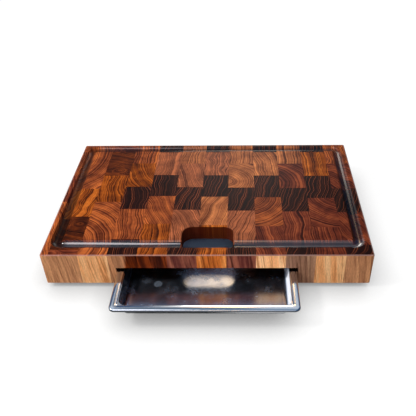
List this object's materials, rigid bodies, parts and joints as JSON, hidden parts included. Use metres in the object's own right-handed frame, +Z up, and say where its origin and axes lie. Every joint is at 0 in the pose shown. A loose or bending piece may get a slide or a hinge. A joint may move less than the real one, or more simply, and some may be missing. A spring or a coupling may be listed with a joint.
{
  "type": "cutting board with sliding tray",
  "caption": "End-grain walnut and wenge cutting board with a juice groove, a scrap chute and a polished steel tray that slides out from a bay beneath.",
  "frame": {"origin": "under the middle of the whole object's box, on the counter that the feet stand on", "axes": "+X to the right along the board's length, +Y from the tray's end to the back, +Z up"},
  "size_m": [0.508, 0.415, 0.066],
  "materials": {
    "walnut": "oiled end grain",
    "wenge": "oiled end grain",
    "tray_steel": "mirror polished",
    "rubber": "matt",
    "screw_steel": "satin"
  },
  "bodies": {
    "board": {"strip_01_block_1_walnut": "walnut", "strip_01_block_2_walnut": "walnut", "strip_01_block_3_walnut": "walnut", "strip_01_block_4_walnut": "walnut", "strip_02_block_1_walnut": "walnut", "strip_02_block_2_walnut": "walnut", "strip_02_block_3_walnut": "walnut", "strip_02_block_4_walnut": "walnut", "strip_03_block_1_walnut": "walnut", "strip_03_block_2_walnut": "walnut", "strip_03_block_3_walnut": "walnut", "strip_03_block_4_walnut": "walnut", "strip_04_block_1_walnut": "walnut", "strip_04_block_2_walnut": "walnut", "strip_04_block_3_wenge": "wenge", "strip_04_block_4_walnut": "walnut", "strip_04_block_5_wenge": "wenge", "strip_05_block_1_wenge": "wenge", "strip_05_block_2_walnut": "walnut", "strip_05_block_3_wenge": "wenge", "strip_05_block_4_walnut": "walnut", "strip_05_block_5_walnut": "walnut", "strip_06_block_1_walnut": "walnut", "strip_06_block_2_walnut": "walnut", "strip_06_block_3_wenge": "wenge", "strip_06_block_4_walnut": "walnut", "strip_06_block_5_wenge": "wenge", "strip_07_block_1_wenge": "wenge", "strip_07_block_2_walnut": "walnut", "strip_07_block_3_wenge": "wenge", "strip_07_block_4_walnut": "walnut", "strip_07_block_5_walnut": "walnut", "strip_08_block_1_walnut": "walnut", "strip_08_block_2_walnut": "walnut", "strip_08_block_3_wenge": "wenge", "strip_08_block_4_walnut": "walnut", "strip_08_block_5_wenge": "wenge", "strip_09_block_1_wenge": "wenge", "strip_09_block_2_walnut": "walnut", "strip_09_block_3_wenge": "wenge", "strip_09_block_4_walnut": "walnut", "strip_09_block_5_walnut": "walnut", "strip_10_block_1_walnut": "walnut", "strip_10_block_2_walnut": "walnut", "strip_10_block_3_wenge": "wenge", "strip_10_block_4_walnut": "walnut", "strip_10_block_5_wenge": "wenge", "strip_11_block_1_wenge": "wenge", "strip_11_block_2_walnut": "walnut", "strip_11_block_3_wenge": "wenge", "strip_11_block_4_walnut": "walnut", "strip_11_block_5_walnut": "walnut", "strip_12_block_1_walnut": "walnut", "strip_12_block_2_walnut": "walnut", "strip_12_block_3_wenge": "wenge", "strip_12_block_4_walnut": "walnut", "strip_12_block_5_wenge": "wenge", "rubber_feet": "rubber", "foot_screws": "screw_steel"},
    "tray": {"steel_tray": "tray_steel"}
  },
  "joints": [
    {"name": "tray_slide", "type": "slide", "parent": "board", "child": "tray", "axis": [0, -1, 0], "range_m": [-0.071, 0.241]}
  ]
}
